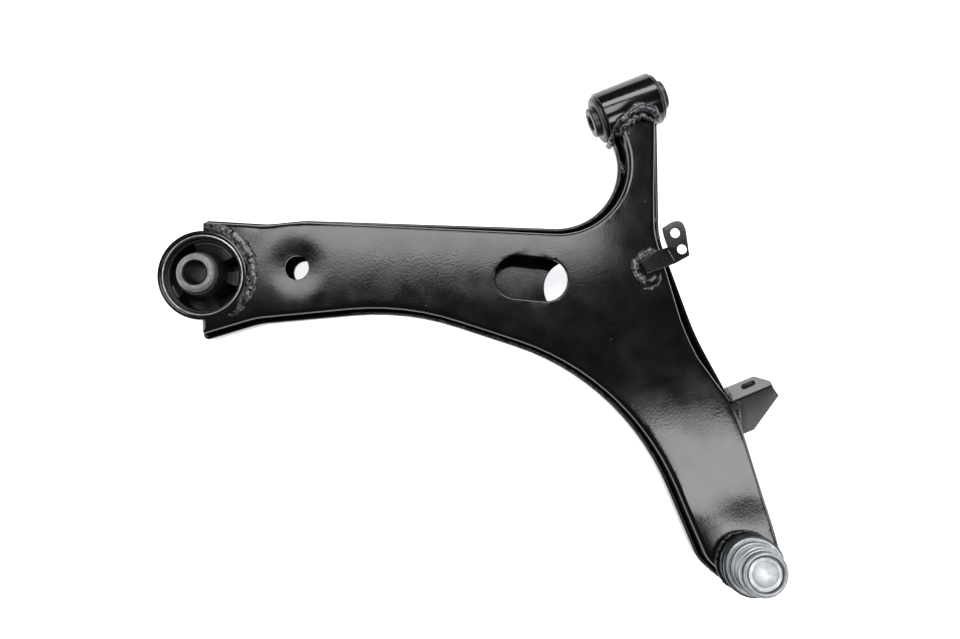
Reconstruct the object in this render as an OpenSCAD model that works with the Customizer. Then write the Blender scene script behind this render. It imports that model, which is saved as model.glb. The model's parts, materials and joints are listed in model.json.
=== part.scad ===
// Front lower control arm of a car: a lap-welded box of two pressed shells.
// The rear bush stands upright, the front bush lies along the pivot axis, and a
// pinch-clamp ball joint is bolted through the outer end by its tapered stud.
// Origin: centre of the rear bush. +X: towards the front bush. +Z: up, out of the top plate.

/* [Arm layout] */
// Distance from the rear bush to the middle of the front bush
front_bush_x = 353.5; // [340:0.5:425]
// Ball joint position along the pivot axis
ball_x = 296; // [285:0.5:310]
// Ball joint distance out from the pivot axis
ball_out = 352; // [335:0.5:425]
// Height of the welded box over both plates
box_h = 38; // [31:0.5:46]

/* [Pressed shells] */
// Sheet thickness of both shells
sheet = 3; // [2.5:0.1:3.6]
// Gap between the two lapped walls
lap_gap = 0.1; // [0.05:0.05:0.3]
// How far the two walls overlap in height
lap_h = 8; // [6:0.5:10]
// Radius pressed along the plate edges
shoulder_r = 3.5; // [2.9:0.1:7.2]
// Locating hole in both shells, diameter
locating_hole_d = 18.4; // [14:0.2:22]
// Locating hole, distance along the pivot axis
locating_hole_x = 68; // [62:0.5:82]
// Locating hole, distance out from the pivot axis
locating_hole_out = 21.5; // [17:0.5:26]
// Drain slot in the upper shell, length
slot_l = 55.5; // [46:0.5:62]
// Drain slot in the upper shell, width
slot_w = 32.5; // [27:0.5:36]
// Drain hole in the lower shell, diameter
drain_hole_d = 44; // [36:0.5:48]

/* [Rear bush] */
// Outside diameter of the welded ring
rear_ring_d = 68; // [66:0.5:74]
// Wall of the welded ring
rear_ring_wall = 3; // [2.5:0.1:3.4]
// Height of the welded ring
rear_ring_h = 42; // [36:0.5:50]
// Wall of the bush's outer sleeve
rear_sleeve_wall = 2; // [1.5:0.1:2.4]
// Height of the bush's outer sleeve
rear_sleeve_h = 38; // [32:0.5:45]
// Outside diameter of the inner sleeve
rear_inner_d = 28.5; // [24:0.5:31]
// Bolt bore of the inner sleeve
rear_bore_d = 16.4; // [14:0.1:19.6]
// Top of the inner sleeve above the bush centre
rear_inner_top = 38; // [32:0.5:45]
// Bottom of the inner sleeve below the bush centre
rear_inner_bottom = 32; // [27:0.5:38]
// Width of the two rubber spokes
spoke_w = 24; // [20:0.5:28]
// Direction of the spokes from the pivot axis
spoke_angle = 50; // [40:1:60]

/* [Front bush] */
// Outside diameter of the welded tube
front_tube_d = 42; // [40:0.5:50]
// Wall of the welded tube
front_tube_wall = 3; // [2.5:0.1:3.5]
// Length of the welded tube
front_tube_l = 45; // [40:0.5:54]
// Wall of the bush's outer sleeve
front_sleeve_wall = 1.5; // [1.2:0.1:1.8]
// Outside diameter of the inner sleeve
front_inner_d = 23.5; // [20:0.5:26]
// Bolt bore of the inner sleeve
front_bore_d = 12.4; // [10.4:0.1:14.8]
// Length of the inner sleeve
front_inner_l = 62; // [58:0.5:74]
// Thickness of the rubber flange at each end
front_flange_t = 4; // [3:0.5:5]

/* [Ball joint] */
// Diameter of the ball
ball_d = 24; // [22:0.5:25]
// Height of the ball centre over the arm's mid plane
ball_z = 48; // [46:0.5:57]
// Clamp diameter of the housing shank
shank_d = 34; // [33.5:0.1:38]
// Top of the housing above the ball centre
housing_top = 21; // [19:0.5:25]
// Diameter of the housing's base flange
flange_d = 42; // [40:0.5:46]
// Pinch-bolt groove, diameter of the bolt that crosses it
pinch_bolt_d = 12; // [10:0.5:12.5]
// Depth of the groove into the shank
pinch_depth = 2.4; // [2:0.1:2.6]
// Neck diameter of the stud
stud_neck_d = 11; // [9.5:0.1:11.4]
// Diameter of the taper at the top of the boss
taper_d = 18; // [16:0.1:20]
// Reduction of the taper's diameter over 10 mm of length
taper_rate = 1; // [0.9:0.05:1.1]
// Thread diameter at the stud's end
thread_d = 12; // [11:0.1:12.5]
// Outside diameter of the boss
boss_d = 40; // [36:0.5:42]
// How far the boss stands above the top plate
boss_proud = 4; // [3:0.5:5]
// Castle nut across its flats
nut_flats = 19; // [18:0.5:22]
// Castle nut height
nut_h = 15; // [13:0.5:18]
// Cotter pin diameter
cotter_d = 2.8; // [2.4:0.1:3.2]

/* [Brackets] */
// Sheet of the wheel-speed harness bracket
harness_t = 2; // [1.6:0.1:2.5]
// Screw holes of the harness bracket, diameter
harness_hole_d = 7.2; // [6:0.1:7.6]
// Distance between the harness bracket's holes
harness_pitch = 13.5; // [12.5:0.5:15]
// Sheet of the stabiliser bracket
link_t = 3; // [2.5:0.1:3.6]
// Length of the stabiliser bracket's flange
link_l = 28.5; // [24:0.5:34]
// Length of the stabiliser bracket's sloping plate
link_drop = 44; // [37:0.5:52]
// Slope of that plate from upright
link_slope = 45; // [38:1:54]
// Pressed slot in the stabiliser bracket's flange, length
link_slot_l = 11; // [9:0.5:14]
// Pressed slot in the stabiliser bracket's flange, width
link_slot_w = 4; // [3.5:0.1:5]

/* [Fits] */
// Gap where one piece seats against another
seat_gap = 0.1; // [0.05:0.05:0.2]
// Radial clearance of the turning and tilting faces
run_gap = 0.05; // [0.02:0.01:0.09]

/* [Hidden] */
$fn = 96;

far = 500;                      // longer than anything that is cut
arc_step = 8;                   // degrees a straight facet of an outline may turn
top_z = box_h / 2;
low_z = -top_z;
wall_in = sheet + lap_gap;      // the upper walls stand this far inside the lower ones
ring_r = rear_ring_d / 2;
ring_bore_r = ring_r - rear_ring_wall;
rear_rubber_r = ring_bore_r - rear_sleeve_wall;
tube_r = front_tube_d / 2;
tube_bore_r = tube_r - front_tube_wall;
front_rubber_r = tube_bore_r - front_sleeve_wall;
tube_end_a = front_bush_x - front_tube_l / 2;
tube_end_b = front_bush_x + front_tube_l / 2;
ball_y = -ball_out;
limb_x = ball_x - 30;           // inner edge of the outer limb
limb_edge_x = ball_x + 37;      // outer edge of the outer limb
locating_hole_y = -locating_hole_out;
slot_at = [230, -97];
slot_turn = -28;
drain_at = [260, -114];

// Outline of the welded box at the lap seam, anticlockwise: x, y and corner radius
box_corners = [
    [-22, -44.5, 4],
    [24, -49, 60],
    [132, -82.5, 200],
    [limb_x, -197, 190],
    [limb_x, ball_y + 9, 30],
    [ball_x - 6, ball_y - 35, 22],
    [ball_x + 27, ball_y - 31, 22],
    [ball_x + 33, ball_y + 12, 60],
    [limb_edge_x + 5.5, -252, 90],
    [limb_edge_x - 1, -185, 200],
    [limb_edge_x + 3, -104, 60],
    [tube_end_b - 1, -8, 6],
    [tube_end_a, -8, 6],
    [limb_edge_x - 2, -97, 48],
    [85, 13.5, 60],
    [58, 21.5, 60],
    [12.5, 43.5, 4],
];

function unit(v) = v / norm(v);
function flat(p) = [p.x, p.y];

// Moves every edge of a rounded outline inwards by d
function inset(c, d) = let (n = len(c)) [
    for (i = [0 : n - 1])
        let (
            a = unit(flat(c[i]) - flat(c[(i + n - 1) % n])),
            b = unit(flat(c[(i + 1) % n]) - flat(c[i])),
            na = [-a.y, a.x],
            nb = [-b.y, b.x],
            way = sign(a.x * b.y - a.y * b.x),
            q = flat(c[i]) + (na + nb) * d / (1 + na * nb)
        )
        [q.x, q.y, max(2, c[i].z - way * d)]
];

// Points of an outline with its corners rounded
function rounded(c) = let (n = len(c)) [
    for (i = [0 : n - 1])
        let (
            a = unit(flat(c[i]) - flat(c[(i + n - 1) % n])),
            b = unit(flat(c[(i + 1) % n]) - flat(c[i])),
            way = sign(a.x * b.y - a.y * b.x),
            turn = acos(a * b),
            r = c[i].z,
            start = flat(c[i]) - a * r * tan(turn / 2),
            na = [-a.y, a.x] * way,
            centre = start + na * r,
            steps = max(1, ceil(turn / arc_step))
        )
        for (k = [0 : steps])
            let (t = turn * k / steps)
            centre - na * r * cos(t) + a * r * sin(t)
];

// A closed band that follows the outline: profile points are [distance inwards, height]
module band(c, profile) {
    rings = [for (p = profile) [for (q = rounded(inset(c, p[0]))) [q.x, q.y, p[1]]]];
    n = len(rings[0]);
    m = len(rings);
    polyhedron(
        points = [for (ring = rings) each ring],
        faces = [
            for (j = [0 : m - 1])
                for (i = [0 : n - 1])
                    let (a = j * n, b = ((j + 1) % m) * n, k = (i + 1) % n)
                    [b + i, b + k, a + k, a + i]
        ]
    );
}

module slab(c, z0, z1) {
    translate([0, 0, z0])
        linear_extrude(z1 - z0)
            polygon(rounded(c));
}

// A slab whose plate edge is pressed round: thin layers follow the shoulder's arc.
// side is 1 where the plate faces up and -1 where it faces down.
module pressed_slab(c, seam_z, plate_z, side) {
    layers = 4;
    for (k = [0 : layers]) {
        t = 90 * k / layers;
        z = plate_z - side * shoulder_r * (1 - sin(t));
        slab(inset(c, shoulder_r * (1 - cos(t))), min(seam_z, z), max(seam_z, z));
    }
}

module along_x(x0, length) {
    translate([x0, 0, 0])
        rotate([0, 90, 0])
            linear_extrude(length)
                children();
}

module ring2d(outer_r, inner_r) {
    difference() {
        circle(outer_r);
        circle(inner_r);
    }
}

module slot2d(length, width) {
    square([length - width, width], center = true);
    for (side = [-1, 1])
        translate([side * (length - width) / 2, 0])
            circle(width / 2);
}

// What both shells leave clear: the two bushes, the boss and the locating hole
module shell_clearance() {
    translate([0, 0, -far / 2])
        cylinder(r = ring_r + seat_gap, h = far);
    along_x(tube_end_a - far / 4, far / 2)
        circle(tube_r + seat_gap);
    translate([ball_x, ball_y, -far / 2])
        cylinder(r = boss_d / 2 + seat_gap, h = far);
    translate([locating_hole_x, locating_hole_y, -far / 2])
        cylinder(d = locating_hole_d, h = far);
}

module upper_shell() {
    outer = inset(box_corners, wall_in);
    color("#1b1c1e")
        difference() {
            pressed_slab(outer, -lap_h / 2, top_z, 1);
            slab(inset(outer, sheet), -lap_h, top_z - sheet);
            shell_clearance();
            translate([slot_at.x, slot_at.y, 0])
                rotate(slot_turn)
                    linear_extrude(far)
                        slot2d(slot_l, slot_w);
        }
}

module lower_shell() {
    color("#141517")
        difference() {
            pressed_slab(box_corners, lap_h / 2, low_z, -1);
            slab(inset(box_corners, sheet), low_z + sheet, lap_h);
            shell_clearance();
            translate([drain_at.x, drain_at.y, -far])
                cylinder(d = drain_hole_d, h = far);
        }
}

module rear_bush_ring() {
    color("#1b1c1e")
        translate([0, 0, -rear_ring_h / 2])
            linear_extrude(rear_ring_h)
                ring2d(ring_r, ring_bore_r);
}

module rear_bush_outer_sleeve() {
    color("#8d9093")
        translate([0, 0, -rear_sleeve_h / 2])
            linear_extrude(rear_sleeve_h)
                ring2d(ring_bore_r, rear_rubber_r);
}

// Lining, two spokes, a collar on the inner sleeve and a stop in each void
module rear_bush_rubber() {
    lining = 2.2;
    collar_r = rear_inner_d / 2 + 3.2;
    stop_l = rear_rubber_r - 5;
    stop_w = 15;
    rubber_h = rear_sleeve_h - 3;
    color("#17181a")
        translate([0, 0, -rubber_h / 2])
            linear_extrude(rubber_h)
                difference() {
                    union() {
                        ring2d(rear_rubber_r, rear_rubber_r - lining);
                        circle(collar_r);
                        intersection() {
                            circle(rear_rubber_r - lining / 2);
                            rotate(spoke_angle)
                                square([2 * ring_r, spoke_w], center = true);
                        }
                        rotate(spoke_angle + 90)
                            square([2 * stop_l, stop_w], center = true);
                    }
                    circle(rear_inner_d / 2 + run_gap);
                }
}

module rear_bush_inner_sleeve() {
    r = rear_inner_d / 2;
    bore_r = rear_bore_d / 2;
    chamfer = 1.2;
    color("#77797b")
        rotate_extrude()
            polygon([
                [bore_r + chamfer, rear_inner_top],
                [bore_r, rear_inner_top - chamfer],
                [bore_r, -rear_inner_bottom + chamfer],
                [bore_r + chamfer, -rear_inner_bottom],
                [r - 0.5, -rear_inner_bottom],
                [r, -rear_inner_bottom + 0.5],
                [r, rear_inner_top - 0.5],
                [r - 0.5, rear_inner_top],
            ]);
}

// Beads that join the ring to both plates, round the side that faces the arm
module rear_ring_weld() {
    weld_start = -76;           // degrees from the pivot axis
    weld_sweep = 138;
    color("#3b3d40")
        for (side = [-1, 1])
            mirror([0, 0, side < 0 ? 1 : 0])
                rotate(weld_start)
                    rotate_extrude(angle = weld_sweep)
                        polygon([
                            [ring_r + seat_gap, top_z],
                            [ring_r + 6, top_z],
                            [ring_r + 5, top_z + 1.2],
                            [ring_r + 2.5, top_z + 2],
                            [ring_r + seat_gap, top_z + 1.8],
                        ]);
}

module front_bush_tube() {
    color("#1b1c1e")
        along_x(tube_end_a, front_tube_l)
            ring2d(tube_r, tube_bore_r);
}

module front_bush_outer_sleeve() {
    color("#8d9093")
        along_x(tube_end_a, front_tube_l)
            ring2d(tube_bore_r, front_rubber_r);
}

// Tubular rubber with a flange over each end of the tube
module front_bush_rubber() {
    flange_r = tube_bore_r + 1;
    half = front_tube_l / 2;
    inner_r = front_inner_d / 2 + run_gap;
    color("#17181a")
        translate([front_bush_x, 0, 0])
            rotate([0, 90, 0])
                rotate_extrude()
                    polygon([
                        [inner_r, -half - front_flange_t],
                        [flange_r - 1.5, -half - front_flange_t],
                        [flange_r, -half - front_flange_t + 1.5],
                        [flange_r, -half - seat_gap],
                        [front_rubber_r, -half - seat_gap],
                        [front_rubber_r, half + seat_gap],
                        [flange_r, half + seat_gap],
                        [flange_r, half + front_flange_t - 1.5],
                        [flange_r - 1.5, half + front_flange_t],
                        [inner_r, half + front_flange_t],
                    ]);
}

module front_bush_inner_sleeve() {
    r = front_inner_d / 2;
    half = front_inner_l / 2;
    chamfer = 0.8;
    edge = 0.6;
    color("#77797b")
        difference() {
            translate([front_bush_x - half, 0, 0])
                rotate([0, 90, 0])
                    rotate_extrude()
                        polygon([
                            [0, 0],
                            [r - edge, 0],
                            [r, edge],
                            [r, 2 * half - edge],
                            [r - edge, 2 * half],
                            [0, 2 * half],
                        ]);
            along_x(front_bush_x - far / 2, far)
                circle(d = front_bore_d);
            for (side = [-1, 1])
                translate([front_bush_x + side * half, 0, 0])
                    rotate([0, side * 90, 0])
                        translate([0, 0, -chamfer])
                            cylinder(d1 = front_bore_d, d2 = front_bore_d + 4 * chamfer, h = 2 * chamfer);
        }
}

// Fillet beads where the plates of the neck meet the tube, above and below
module front_tube_weld() {
    bead_t = 2.6;
    bead_start = 3;             // from the tube's inner end
    bead_l = front_tube_l - 8;
    z = top_z + seat_gap;
    color("#3b3d40")
        for (side = [-1, 1])
            mirror([0, 0, side < 0 ? 1 : 0])
                along_x(tube_end_a + bead_start, bead_l)
                    intersection() {
                        ring2d(tube_r + bead_t, tube_r + seat_gap);
                        polygon([[-z, -5], [-z, -tube_r], [-2 * tube_r, -tube_r], [-2 * tube_r, -5]]);
                    }
}

// Bead of the lap seam between two places along the outline, on top of the lower walls
module seam_bead(keep) {
    z = lap_h / 2;
    intersection() {
        band(inset(box_corners, sheet - 2.6), [
            [0, z],
            [0.3, z + 1.2],
            [1.2, z + 2.2],
            [2.6 + lap_gap, z + 2.6],
            [2.6 + lap_gap, z],
        ]);
        linear_extrude(far, center = true)
            polygon(keep);
    }
}

module front_seam_weld() {
    color("#2c2e30")
        seam_bead([[90, 60], [90, -8], [230, -70], [298, -98], [320, -84],
                   [345, -60], [345, -27], [310, -20], [230, 20]]);
}

module rear_seam_weld() {
    color("#2c2e30")
        seam_bead([[40, -45], [40, -90], [200, -200], [250, ball_y + 20],
                   [275, ball_y + 20], [285, -220], [225, -130], [140, -75]]);
}

module ball_joint_boss() {
    boss_top = top_z + boss_proud;
    color("#222426")
        translate([ball_x, ball_y, 0])
            difference() {
                translate([0, 0, low_z - 2])
                    cylinder(d = boss_d, h = boss_top - low_z + 2);
                taper(boss_top + 1, low_z - 3);
                // the thread's start stands inside the bore, whatever the taper's size
                translate([0, 0, low_z - 3])
                    cylinder(r = thread_d / 2 + run_gap, h = thread_top + seat_gap - low_z + 3);
            }
}

// Radius of the stud's taper at height z
function taper_r(z) = taper_d / 2 - (top_z + boss_proud - z) * taper_rate / 20;

module taper(z1, z0) {
    translate([0, 0, z0])
        cylinder(r1 = taper_r(z0), r2 = taper_r(z1), h = z1 - z0);
}

module ball_joint_boss_weld() {
    r = boss_d / 2 + seat_gap;
    color("#2c2e30")
        translate([ball_x, ball_y, 0])
            for (side = [-1, 1])
                mirror([0, 0, side < 0 ? 1 : 0])
                    rotate_extrude()
                        polygon([
                            [r, top_z],
                            [r + 2.4, top_z],
                            [r + 1, top_z + 1],
                            [r, top_z + 1.8],
                        ]);
}

nut_top = low_z - 2 - seat_gap;
thread_top = nut_top + 4;
stud_end = nut_top - nut_h - 5;
cotter_z = nut_top - nut_h + 3;

module ball_stud() {
    boss_top = top_z + boss_proud;
    neck_r = stud_neck_d / 2;
    cone_h = 8;
    ball_low = sqrt(pow(ball_d / 2, 2) - pow(neck_r, 2));
    color("#9c9fa2")
        translate([ball_x, ball_y, 0])
            difference() {
                union() {
                    translate([0, 0, ball_z])
                        sphere(d = ball_d);
                    translate([0, 0, boss_top + cone_h])
                        cylinder(r = neck_r, h = ball_z - ball_low + 1 - boss_top - cone_h);
                    translate([0, 0, boss_top])
                        cylinder(r1 = taper_r(boss_top), r2 = neck_r, h = cone_h);
                    taper(boss_top, thread_top);
                    translate([0, 0, stud_end + 1])
                        cylinder(d = thread_d, h = thread_top - stud_end - 1);
                    translate([0, 0, stud_end])
                        cylinder(d1 = thread_d - 2, d2 = thread_d, h = 1);
                }
                translate([-20, 0, cotter_z])
                    rotate([0, 90, 0])
                        cylinder(d = cotter_d + 0.4, h = 40);
            }
}

// Hexagon with a round crown that six slots cross
module castle_nut() {
    crown_h = 5.5;
    corner_r = nut_flats / 2 / cos(30);
    color("#a8abad")
        translate([ball_x, ball_y, nut_top])
            difference() {
                union() {
                    translate([0, 0, crown_h - nut_h])
                        cylinder(r = corner_r, h = nut_h - crown_h, $fn = 6);
                    translate([0, 0, -nut_h])
                        cylinder(d = nut_flats - 2, h = crown_h + 1);
                }
                translate([0, 0, -nut_h - 1])
                    cylinder(r = thread_d / 2 + run_gap, h = nut_h + 2);
                for (turn = [0 : 60 : 120])
                    rotate(turn)
                        translate([-20, -2, -nut_h - 1])
                            cube([40, 4, crown_h]);
            }
}

// Straight leg through the stud, an eye at one end and the split ends bent down at the other
module cotter_pin() {
    reach = nut_flats / 2 + 1.5;
    leg_r = cotter_d / 2;
    color("#b9bbbd")
        translate([ball_x, ball_y, cotter_z])
            union() {
                translate([-reach, 0, 0])
                    rotate([0, 90, 0])
                        cylinder(r = leg_r, h = 2 * reach);
                translate([-reach - 3.4, 0, 0])
                    rotate([90, 0, 0])
                        rotate_extrude()
                            translate([3, 0])
                                circle(1.1);
                translate([reach, 0, -7])
                    cylinder(r = leg_r, h = 7);
                translate([reach, 0, 0])
                    sphere(r = leg_r);
            }
}

cavity_r = ball_d / 2 + 2.6;
housing_low = 8.8;
cap_r = 12;
cap_t = 2.2;
housing_lip = 1.2;

// Base flange, step, shank with the pinch-bolt groove and a lip rolled over the cap
module ball_joint_housing() {
    shank_r = shank_d / 2;
    flange_r = flange_d / 2;
    mouth_r = 10.8;
    cap_low = housing_top - housing_lip - cap_t;
    color("#c9ccce")
        translate([ball_x, ball_y, ball_z])
            difference() {
                rotate_extrude()
                    polygon([
                        [0, -housing_low],
                        [flange_r - 1, -housing_low],
                        [flange_r, -housing_low + 1],
                        [flange_r, -housing_low + 5],
                        [shank_r + 2, -housing_low + 6.5],
                        [shank_r + 2, -housing_low + 9],
                        [shank_r, -housing_low + 10],
                        [shank_r, housing_top - 4.5],
                        [cap_r + 2.6, housing_top],
                        [0, housing_top],
                    ]);
                sphere(r = cavity_r + run_gap);
                cylinder(r = cap_r - 2, h = far);
                translate([0, 0, cap_low])
                    cylinder(r = cap_r + seat_gap, h = cap_t + seat_gap);
                translate([0, 0, -far])
                    cylinder(r = mouth_r, h = far);
                rotate_extrude()
                    translate([shank_r + pinch_bolt_d / 2 - pinch_depth, 7.5])
                        circle(d = pinch_bolt_d);
            }
}

module ball_joint_cap() {
    z = ball_z + housing_top - housing_lip - cap_t;
    color("#cfd2d4")
        translate([ball_x, ball_y, z + seat_gap / 2])
            cylinder(r = cap_r, h = cap_t);
}

// Plastic liner between the ball and the housing, ball-shaped inside and out
module ball_joint_seat() {
    color("#d9d6cb")
        translate([ball_x, ball_y, ball_z])
            difference() {
                intersection() {
                    sphere(r = cavity_r);
                    translate([0, 0, -6.3])
                        cylinder(r = cavity_r + 1, h = 15);
                }
                sphere(r = ball_d / 2 + run_gap);
            }
}

boot_top = ball_z - housing_low;

// Thin bellows from the housing's flange down to the boss
module ball_joint_boot() {
    z0 = top_z + boss_proud + seat_gap;
    h = boot_top - seat_gap - z0;
    r = flange_d / 2;
    color("#191a1b")
        translate([ball_x, ball_y, z0])
            rotate_extrude()
                polygon([
                    [taper_d / 2 + 1.2, 0],
                    [boss_d / 2 - 2.5, 0],
                    [r - 0.5, 0.22 * h],
                    [r + 1.4, 0.52 * h],
                    [r + 0.6, 0.82 * h],
                    [r - 1.2, h],
                    [r - 4, h],
                    [r - 1.8, 0.78 * h],
                    [r - 0.8, 0.52 * h],
                    [r - 2.6, 0.3 * h],
                    [boss_d / 2 - 4, 2.4],
                    [taper_d / 2 + 1.2, 2.4],
                ]);
}

// Steel band that holds the boot on the housing's flange
module boot_ring() {
    r = flange_d / 2 + run_gap;
    color("#c4c7c9")
        translate([ball_x, ball_y, boot_top + 1.2])
            linear_extrude(3)
                ring2d(r + 1.1, r);
}

// Spring clip in the boot's mouth, round the stud
module boot_clip() {
    color("#a8abad")
        translate([ball_x, ball_y, top_z + boss_proud + 2.7])
            linear_extrude(1.2)
                ring2d(taper_d / 2 + 3.4, taper_d / 2 + 1.6);
}

harness_y = -123.5;             // middle line of the harness bracket's strip
harness_w = 11;
harness_x0 = limb_edge_x - 22;
harness_bend_x = limb_edge_x + 2;

// Strip welded on the top plate, with a two-hole head that steps up past the edge
module harness_bracket() {
    hole_x = harness_bend_x + 9;
    z = top_z + seat_gap;
    color("#1b1c1e")
        translate([0, 0, z])
            difference() {
                union() {
                    translate([harness_x0, harness_y - harness_w / 2, 0])
                        cube([harness_bend_x - harness_x0, harness_w, harness_t]);
                    linear_extrude(harness_t)
                        polygon(rounded([
                            [harness_bend_x - 0.01, harness_y - harness_w / 2, 0.5],
                            [harness_bend_x + 10.5, harness_y - harness_w / 2, 1],
                            [harness_bend_x + 17.5, harness_y + harness_w / 2 + 9, 5],
                            [harness_bend_x + 13.5, harness_y + harness_w / 2 + 19, 5.5],
                            [harness_bend_x + 1.5, harness_y + harness_w / 2 + 16.5, 0.8],
                            [harness_bend_x - 0.01, harness_y + harness_w / 2, 1.5],
                        ]));
                }
                for (k = [0, 1])
                    translate([hole_x, harness_y + 3 + k * harness_pitch, -1])
                        cylinder(d = harness_hole_d, h = harness_t + 2);
            }
}

// Beads along the strip's end and both sides
module harness_bracket_weld() {
    reach = 13;
    z = top_z + seat_gap;
    color("#3b3d40")
        translate([harness_x0, harness_y, z]) {
            for (side = [-1, 1])
                mirror([0, side < 0 ? 1 : 0, 0])
                    translate([0, harness_w / 2, 0])
                        rotate([90, 0, 90])
                            linear_extrude(reach)
                                polygon([[seat_gap, 0], [3.4, 0], [2.6, 1.4], [seat_gap, 2.4]]);
            translate([0, harness_w / 2, 0])
                rotate([90, 0, 0])
                    linear_extrude(harness_w)
                        polygon([[-seat_gap, 0], [-3.4, 0], [-2.6, 1.4], [-seat_gap, 2.4]]);
        }
}

link_x0 = limb_edge_x + 6;      // where the stabiliser bracket starts, just outside the box wall
link_front_y = -241;            // outer edge of its bend
link_flange_w = 11.5;
link_z = top_z - 1;             // top of its flange
link_slot_at = [11, 6.5];       // centre of the slot from the bend's inner end

// Angle bracket: a flange with a blind pressed slot, and a sloping plate
module stabiliser_bracket() {
    corner_cut = 10;
    slot_floor = 0.6;
    color("#232527")
        difference() {
            union() {
                translate([link_x0, link_front_y, link_z - link_t])
                    linear_extrude(link_t)
                        polygon([
                            [0, 0],
                            [link_l, 0],
                            [link_l, 3.5],
                            [link_l - corner_cut, link_flange_w],
                            [0, link_flange_w],
                        ]);
                translate([link_x0, link_front_y, link_z])
                    rotate([90 - link_slope, 0, 0])
                        translate([0, 0, -link_t])
                            linear_extrude(link_t)
                                polygon([
                                    [0, 0],
                                    [0, -link_drop],
                                    [link_l - 18, -link_drop],
                                    [link_l + 4.5, -link_drop * 0.35],
                                    [link_l, 0],
                                ]);
            }
            translate([
                link_x0 + link_slot_at.x,
                link_front_y + link_slot_at.y,
                link_z - link_t + slot_floor,
            ])
                linear_extrude(link_t)
                    slot2d(link_slot_l, link_slot_w);
        }
}

// One bead from the wall to the flange's end, and one down the wall to the hanging plate
module stabiliser_bracket_weld() {
    reach = 8;
    rise = 1.4;
    color("#3b3d40")
        difference() {
            union() {
                translate([link_x0, link_front_y + link_flange_w - 1, link_z])
                    rotate([90, 0, 0])
                        linear_extrude(link_flange_w - 2)
                            polygon([
                                [-reach, -link_t],
                                [-seat_gap, -link_t],
                                [-seat_gap, 0],
                                [-1.5, rise],
                                [-3.5, rise],
                                [-reach, -0.5],
                            ]);
                translate([link_x0 - reach, link_front_y, link_z])
                    rotate([90 - link_slope, 0, 0])
                        translate([0, 4 - link_drop, -link_t])
                            cube([reach - seat_gap, link_drop - 10, link_t]);
            }
            slab(inset(box_corners, -seat_gap), -far, lap_h / 2 + seat_gap);
            slab(inset(box_corners, wall_in - seat_gap), 0, far);
        }
}

upper_shell();
lower_shell();
rear_bush_ring();
rear_bush_outer_sleeve();
rear_bush_rubber();
rear_bush_inner_sleeve();
rear_ring_weld();
front_bush_tube();
front_bush_outer_sleeve();
front_bush_rubber();
front_bush_inner_sleeve();
front_tube_weld();
front_seam_weld();
rear_seam_weld();
ball_joint_boss();
ball_joint_boss_weld();
ball_stud();
castle_nut();
cotter_pin();
ball_joint_housing();
ball_joint_cap();
ball_joint_seat();
ball_joint_boot();
boot_ring();
boot_clip();
harness_bracket();
harness_bracket_weld();
stabiliser_bracket();
stabiliser_bracket_weld();
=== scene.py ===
import json
import math
import random

import bmesh
import bpy
from mathutils import Matrix, Vector
from mathutils.kdtree import KDTree


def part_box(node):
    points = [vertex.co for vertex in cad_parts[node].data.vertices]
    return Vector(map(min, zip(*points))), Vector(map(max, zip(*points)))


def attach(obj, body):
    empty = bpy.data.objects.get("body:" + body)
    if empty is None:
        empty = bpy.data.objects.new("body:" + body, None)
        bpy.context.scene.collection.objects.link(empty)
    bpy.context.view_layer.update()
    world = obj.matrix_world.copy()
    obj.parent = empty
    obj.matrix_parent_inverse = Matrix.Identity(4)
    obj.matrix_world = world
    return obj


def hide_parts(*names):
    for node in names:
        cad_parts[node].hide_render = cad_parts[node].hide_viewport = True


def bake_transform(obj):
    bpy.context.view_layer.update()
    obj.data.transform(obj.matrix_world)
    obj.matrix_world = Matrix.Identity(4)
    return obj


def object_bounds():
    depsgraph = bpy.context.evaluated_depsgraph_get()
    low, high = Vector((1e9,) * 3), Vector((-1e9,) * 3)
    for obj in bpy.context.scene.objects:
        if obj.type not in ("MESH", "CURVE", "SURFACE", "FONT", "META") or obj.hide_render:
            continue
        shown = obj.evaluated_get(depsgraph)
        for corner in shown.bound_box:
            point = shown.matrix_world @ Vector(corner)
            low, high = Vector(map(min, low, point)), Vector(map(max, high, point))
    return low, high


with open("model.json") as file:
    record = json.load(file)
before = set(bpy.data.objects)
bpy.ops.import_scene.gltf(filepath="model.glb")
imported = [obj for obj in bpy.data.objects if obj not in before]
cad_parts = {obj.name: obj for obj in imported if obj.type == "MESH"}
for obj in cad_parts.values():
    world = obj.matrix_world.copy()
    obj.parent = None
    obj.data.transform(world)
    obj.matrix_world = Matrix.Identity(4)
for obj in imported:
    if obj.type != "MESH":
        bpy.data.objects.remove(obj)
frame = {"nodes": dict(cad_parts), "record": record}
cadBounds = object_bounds()
mm = 0.001


def boxOf(node):
    low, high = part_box(node)
    return Vector(low), Vector(high)


def middle(node):
    low, high = boxOf(node)
    return (low + high) / 2


# places that the frame gives
mounts = {m["name"]: m for m in frame["record"]["mounts"]}
rearBush = Vector(mounts["rear_bolt_bore"]["pos_m"])
frontBush = Vector(mounts["front_bolt_bore"]["pos_m"])
ballAt = middle("ball_joint_housing")

# camera, floor and light
view = {
    "height": 0.680,
    "over": (0.1664, -0.1494),
    "turn": 22.35,            # degrees the pivot axis climbs across the frame
    "tilt": 3.57,             # degrees off straight down
    "lens": 32.8,
}


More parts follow.
